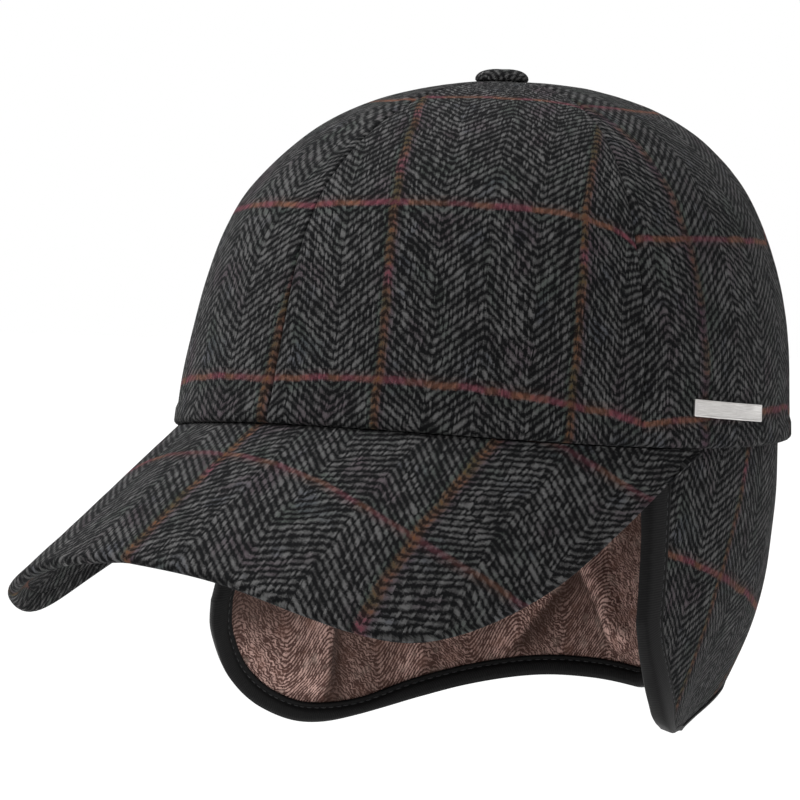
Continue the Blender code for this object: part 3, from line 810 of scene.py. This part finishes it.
def makeFlap(tweed, lining):
    # the near flap is fuller here
    full = {"size": 1.3 * mm, "angle": 128.0, "width": 16.0, "height": -53 * mm, "tall": 16 * mm}
    # folds of the loose lining: angle, width of the steep side and of the gentle side, how far it stands
    # off in millimetres, how much painted shade lies behind it
    folds = [(256.8, 1.6, 11.0, 3.6, 1.0), (237.0, 1.8, 6.0, 1.6, 0.55), (176.0, 2.0, 12.0, 2.6, 0.5),
             (150.0, 2.0, 10.0, 2.4, 0.6), (128.0, 2.2, 9.0, 2.2, 0.5), (107.0, 2.0, 8.0, 2.6, 0.7)]
    # the top of a three-cornered fold
    tent = {"angle": 202.0, "height": -45 * mm, "tall": 23 * mm}

    def outerLift(angle, height, points):
        out = bump(angle, full["angle"], full["width"]) * bump(height, full["height"], full["tall"])
        uneven = 0.6 * mm * ripple(points, 34, 2.4) + 0.25 * mm * ripple(points, 14, 8.8)
        return full["size"] * out + uneven * smoothStep(0.0, 25 * mm, -height)

    def foldsAt(angle, height, points):
        # how far the folds stand off, and the painted shade that the folds and the peak give the lining
        bend = 1.6 * ripple(points, 45, 5.5)
        stand, shadeAndMottle = 0.0 * angle, 0.0 * angle
        for at, steep, gentle, size, dark in folds:
            away = angle + bend - at
            away = np.where(angle > 180.0, away, -away)
            stand += size * bump(away, 0.0, np.where(away > 0.0, gentle, steep))
            # painted shade behind each fold
            behind = smoothStep(-0.3, 0.9, -away) * (1.0 - 0.45 * smoothStep(2.5, 6.0, -away))
            shadeAndMottle += dark * behind * smoothStep(19.0, 11.0, -away)
        # the three-cornered fold is behind the near flap and points up
        down = tent["height"] - height
        spread = np.maximum(down, 0.0) / tent["tall"]
        left, right = tent["angle"] + 12.5 * spread, tent["angle"] - 10.0 * spread
        inside = smoothStep(0.0, 1.0, (left - angle) / 1.2) * smoothStep(0.0, 1.0, (angle - right) / 0.8)
        inside = inside * smoothStep(0.0, 3 * mm, down) * smoothStep(32 * mm, 26 * mm, down)
        ridge = bump(angle, right - 2.4, 3.0) * smoothStep(-12 * mm, 6 * mm, down)
        lower = bump(angle, left + 3.5, 4.0) * smoothStep(0.0, 10 * mm, down)
        stand += 3.2 * ridge + 1.4 * lower
        sides = 0.65 * np.exp(-abs(angle - right) / 1.6) + 0.85 * bump(angle, left, 6.0)
        # painted shade inside the three-cornered fold and along its sides
        shadeAndMottle += inside * (0.35 + sides)
        # shaded high up, behind the peak and beside the hem
        shadeAndMottle += 0.85 * smoothStep(258.0, 270.0, angle) * smoothStep(72 * mm, 54 * mm, -height)
        shadeAndMottle += 0.60 * smoothStep(200.0, 190.0, angle) * smoothStep(60 * mm, 42 * mm, -height)
        return stand, np.clip(shadeAndMottle, 0.0, 1.0)

    def liningLift(angle, height, points):
        free = smoothStep(3 * mm, 22 * mm, -height) * smoothStep(5 * mm, 13 * mm, height + flapDepth(angle))
        stand = foldsAt(angle, height, points)[0]
        return (-stand * mm + 0.3 * mm * ripple(points, 12, 6.1)) * free - 0.25 * mm

    def liningShadeAndMottle(angle, height, points):
        # painted shade of the folds, fading out close to the rim
        shadeAndMottle = foldsAt(angle, height, points)[1] * smoothStep(6 * mm, 20 * mm, -height)
        # and a little uneven everywhere
        return np.clip(shadeAndMottle + 0.10 * (ripple(points, 25, 3.3) + 0.5), 0.0, 1.0)

    cut = {"turn": 15.2, "red": -29.0, "orange": 46.0}
    outer = bandSheet("flap_outer_cloth", 0.0, outerLift, cut)
    area = giveWall(outer, 1.2 * mm, (tweed,))
    handOver(outer, ["flap_outer"], (0.352, 0.104, area, "hung", ["crown_side_left_cloth"]))
    cut = {"turn": -8.0, "red": 0.0, "orange": 0.0}
    # the lining carries painted shade in its folds, under the peak and beside the hem
    inner = bandSheet("flap_lining_cloth", 1.9 * mm, liningLift, cut, liningShadeAndMottle)
    area = areaOf(inner)
    # its face is the one towards the head
    openMesh(inner, "SELECT")
    bpy.ops.mesh.flip_normals()
    closeMesh()
    applyModifier(inner, "SOLIDIFY", thickness=1.0 * mm, offset=1.0, use_even_offset=True)
    inner.data.materials.append(lining)
    inner.data.shade_smooth()
    handOver(inner, ["flap_lining"], (0.345, 0.104, area, "hung", ["flap_outer_cloth"]))


def edgeStations(count):
    # angles and heights down the left front edge, round the free edge and up the right one
    first = flapForm["start"]
    down = np.linspace(10.0 * mm, float(flapDepth(np.array(first))), 40)[:-1]
    angle = np.concatenate([0.0 * down + first, bandAngles, 360.0 - first + 0.0 * down])
    height = np.concatenate([-down, -flapDepth(bandAngles), -down[::-1]])
    length = arcAlong(flapSurface(angle, height), 0)
    even = np.linspace(0.0, length[-1], count)
    return np.interp(even, length, angle), np.interp(even, length, height), even


def edgeFrame(angle, height):
    # along the edge, the cloth's normal, and the way off the edge in the cloth
    points = flapSurface(angle, height)
    run = unit(np.gradient(points, axis=0))
    normal = normalsOf(flapSurface, angle, height, 0.05, 0.5 * mm)
    off = unit(np.cross(run, normal))
    return points, run, normal, off


def overEdge(angle, height, back, out):
    # points this far back from the edge over the cloth, and this far out from its face
    points, _, normal, off = edgeFrame(angle, height)
    around, up = slopesOf(flapSurface, angle, height, 0.5, 0.5 * mm)
    aroundSize, upSize = np.linalg.norm(around, axis=-1), np.linalg.norm(up, axis=-1)
    turn = np.sum(off * around, axis=-1) / aroundSize
    climb = np.sum(off * up, axis=-1) / upSize
    back, out = back + 0.0 * angle, (out + 0.0 * angle)[:, None]
    backAngle = angle - turn * back / aroundSize
    backHeight = height - climb * back / upSize * mm
    placed = flapSurface(backAngle, backHeight)
    face = normalsOf(flapSurface, backAngle, backHeight, 0.05, 0.5 * mm)
    beyond = points + normal * out - off * back[:, None]
    return np.where((back > 0.0)[:, None], placed + face * out, beyond)


def tapeWidth(angle):
    # the tape shows full width down the front edge outside, and only as a thin edge behind the tip
    return 1.0 - 0.80 * smoothStep(86.0, 99.0, 180.0 - abs(180.0 - angle))


def tapeReach(angle, height):
    # it is drawn tighter on the left, but not at the front corner, and stands out further on the right
    down = -height
    corner = smoothStep(58 * mm, 74 * mm, down) * smoothStep(94.0, 88.0, angle)
    left = 0.65 * smoothStep(10 * mm, 30 * mm, down) * smoothStep(165.0, 135.0, angle)
    right = 0.88 * smoothStep(165.0, 180.0, angle) - 0.75 * bump(angle, 249.0, 7.5)
    front = 0.67 * smoothStep(279.0, 282.0, angle) * smoothStep(72 * mm, 58 * mm, down)
    return 1.0 - left * (1.0 - 0.9 * corner) + right + front


def makeBinding(bindingCloth):
    # the tape's section in millimetres: distance back from the edge and distance out from the band's
    # face, over the edge and back on the lining's side, where out counts from the lining's face
    stack = 3.1
    outer = [(7.4, 0.12), (7.55, 0.42), (7.2, 0.66), (6.75, 0.60), (6.4, 0.50), (6.05, 0.50), (5.7, 0.62),
             (4.6, 0.72), (3.2, 0.76), (1.8, 0.84), (0.6, 0.86), (-0.4, 0.66), (-1.05, 0.05),
             (-1.35, -stack / 2)]
    inner = [(-1.55, 0.1), (-0.9, 1.0), (0.0, 1.3), (0.7, 1.3), (1.2, 1.1), (1.6, 0.84), (1.85, 0.75),
             (2.1, 0.80), (2.4, 0.95), (2.75, 1.0), (3.2, 0.90), (3.5, 0.55), (3.4, 0.15)]
    inner = [(back, -stack - out) for back, out in inner]
    core = [(2.6, -stack - 0.05), (-0.25, -stack - 0.02), (-0.25, 0.02), (2.6, 0.05)]
    ring = outer + inner + core
    outside = [True] * len(outer) + [False] * (len(inner) + 2) + [True] * 2
    angle, height, length = edgeStations(460)
    section = np.array(ring + ring[:1]) * mm
    around = arcAlong(section, 0)

    def surface(station, place):
        width, reach = tapeWidth(angle), tapeReach(angle, height)
        rows = []
        for (back, out), onFace in zip(section[::-1], (outside + outside[:1])[::-1]):
            back = back * (width if onFace and back > 0.0 else reach if back < -0.3 * mm else 1.0)
            out = out * (0.55 + 0.45 * width) if onFace and out > 0.0 else out
            out = np.where(out < -stack * mm, -stack * mm + (out + stack * mm) * np.minimum(reach, 1.0), out)
            rows.append(overEdge(angle, height, back, out))
        return np.stack(rows), pack(length[station], around[place])

    tape = clothSheet("flap_binding_tape", np.arange(len(angle)), np.arange(len(section)), surface)
    openMesh(tape, "SELECT")
    bpy.ops.mesh.remove_doubles(threshold=0.001 * mm)
    bpy.ops.mesh.select_all(action="DESELECT")
    bpy.ops.mesh.select_non_manifold()
    bpy.ops.mesh.fill_holes(sides=0)
    bpy.ops.mesh.select_all(action="SELECT")
    bpy.ops.mesh.normals_make_consistent(inside=False)
    closeMesh()
    tape.data.materials.append(bindingCloth)
    tape.data.shade_smooth()
    handOver(tape, ["flap_binding"])


def makeStitches(thread):
    # one stitch, copied along both faces of the binding
    stitch = {"pitch": 2.7 * mm, "length": 1.9 * mm, "width": 0.42 * mm, "backOutside": 6.2 * mm,
              "outside": 0.52 * mm, "backInside": 1.85 * mm, "inside": 3.93 * mm}
    angle, height, length = edgeStations(1200)
    bpy.ops.mesh.primitive_uv_sphere_add(segments=8, ring_count=6, radius=0.5)
    master = bpy.context.object
    master.scale = (stitch["length"], stitch["width"], stitch["width"])
    bpy.ops.object.transform_apply(location=False, rotation=False, scale=True)
    # its ends are drawn down into the cloth
    for vertex in master.data.vertices:
        vertex.co.z -= 0.35 * stitch["width"] * (abs(vertex.co.x) / (stitch["length"] / 2)) ** 3
    master.data.materials.append(thread)
    master.data.shade_smooth()
    _, run, normal, off = edgeFrame(angle, height)
    places = np.searchsorted(length, np.arange(4 * mm, length[-1] - 3 * mm, stitch["pitch"]))
    width = tapeWidth(angle)
    copies = []
    for back, out, face, showing in ((stitch["backOutside"], stitch["outside"], 1.0, width > 0.9),
                                     (stitch["backInside"], -stitch["inside"], -1.0, width > 0.0)):
        seat = overEdge(angle, height, back, out)
        for i in places[showing[places]]:
            copy = master.copy()
            copy.data = master.data.copy()
            axes = Matrix((run[i], -face * off[i], face * normal[i])).transposed().to_4x4()
            copy.matrix_world = Matrix.Translation(seat[i]) @ axes
            bpy.context.scene.collection.objects.link(copy)
            copies.append(copy)
    bpy.data.objects.remove(master, do_unlink=True)
    deselectAll()
    for copy in copies:
        copy.select_set(True)
    stitches = copies[0]
    bpy.context.view_layer.objects.active = stitches
    bpy.ops.object.join()
    bpy.ops.object.transform_apply(location=True, rotation=True, scale=True)
    stitches.name = stitches.data.name = "binding_stitches"
    handOver(stitches)


# Small parts

def makeButton(tweed):
    button = {"radius": 8.2 * mm, "height": 4.9 * mm, "sunk": 1.1 * mm, "pleats": 14, "pleatDepth": 0.22 * mm,
              "flatness": 0.62}
    top = crownSurface(np.array([0.0, 180.0]), np.array([10.0, 10.0])).mean(axis=0)
    bpy.ops.mesh.primitive_uv_sphere_add(segments=56, ring_count=28, radius=1.0)
    dome = justAdded("top_button_cloth")
    x, y, z = pointsOf(dome).T
    around, reach = np.arctan2(y, x), np.hypot(x, y)
    # a flattened dome, drawn in underneath in small pleats
    reach = np.where(z > 0, reach ** button["flatness"], reach ** (button["flatness"] * 0.8))
    pleat = button["pleatDepth"] * np.cos(around * button["pleats"]) * smoothStep(-0.2, 0.5, -z) * reach
    radius = button["radius"] * reach * (1.0 - 0.10 * smoothStep(0.0, 1.0, -z)) + pleat
    height = button["height"] * (0.34 + np.where(z > 0, 0.66 * abs(z) ** 0.95, 0.34 * z)) - button["sunk"]
    wobble = 0.1 * mm * np.sin(3 * around + 0.7)
    points = pack(radius * np.cos(around), radius * np.sin(around), height + wobble * z)
    dome.data.vertices.foreach_set("co", (points + top).ravel())
    fromTop = np.arccos(np.clip(z, -1, 1))[:, None]
    cover = pack(np.cos(around), np.sin(around)) * fromTop * 5.6
    layMap(dome, (cover + np.array([30, 27])) * mm)
    dome.data.materials.append(tweed)
    dome.data.shade_smooth()
    handOver(dome, ["top_button"])


def makeBadge(silver):
    # a bare plate, bent to the crown
    badge = {"length": 36.2 * mm, "height": 5.0 * mm, "wall": 1.0 * mm, "bevel": 0.30 * mm,
             "rim": 0.5 * mm, "rimSlope": 0.12 * mm, "rimDepth": 0.16 * mm,
             "angle": 94.3, "raise": 10.8 * mm, "stand": 0.45 * mm, "tilt": 0.055}
    bpy.ops.mesh.primitive_cube_add(size=1.0)
    plate = justAdded("side_badge")
    plate.scale = (badge["length"], badge["wall"], badge["height"])
    bpy.ops.object.transform_apply(location=False, rotation=False, scale=True)
    openMesh(plate, "DESELECT")
    closeMesh()
    for face in plate.data.polygons:
        face.select = face.normal.y < -0.9
    openMesh(plate)
    bpy.ops.mesh.inset(thickness=badge["rim"], depth=0.0)
    bpy.ops.mesh.inset(thickness=badge["rimSlope"], depth=-badge["rimDepth"])
    closeMesh()
    applyModifier(plate, "BEVEL", width=badge["bevel"], segments=4, limit_method="ANGLE",
                  angle_limit=math.radians(60))
    # the long edges are halved until they can follow the bend
    for _ in range(4):
        openMesh(plate, "DESELECT")
        closeMesh()
        for edge in plate.data.edges:
            a, b = (plate.data.vertices[i].co for i in edge.vertices)
            edge.select = abs(a.x - b.x) > 1.2 * mm
        openMesh(plate)
        bpy.ops.mesh.subdivide(number_cuts=1)
        closeMesh()
    x, y, z = pointsOf(plate).T
    here, level = np.array(badge["angle"]), levelAt(badge["raise"])
    perDegree = np.linalg.norm(crownSurface(here + 0.5, level) - crownSurface(here - 0.5, level))
    angle = here + x / perDegree
    level = levelAt(badge["raise"] + z - x * badge["tilt"])
    out = badge["stand"] + badge["wall"] / 2 - y
    points = crownSurface(angle, level) + normalsOf(crownSurface, angle, level) * out[:, None]
    plate.data.vertices.foreach_set("co", points.ravel())
    layMap(plate, pack(x, z))
    plate.data.materials.append(silver)
    bpy.ops.object.shade_smooth_by_angle(angle=math.radians(40))
    handOver(plate, ["badge"])


aimCamera()
lightStudio()
print("camera and light are set")
tweedFinish = makeTweed()
backingFinish = makeBacking()
liningFinish = makeLiningCloth()
bindingFinish = makeBindingCloth()
threadFinish = makeThread()
silverFinish = makeSilver()
print("finishes are ready")
makeCrown(tweedFinish, backingFinish)
makePeak(tweedFinish)
makeFlap(tweedFinish, liningFinish)
makeBinding(bindingFinish)
makeStitches(threadFinish)
makeButton(tweedFinish)
makeBadge(silverFinish)
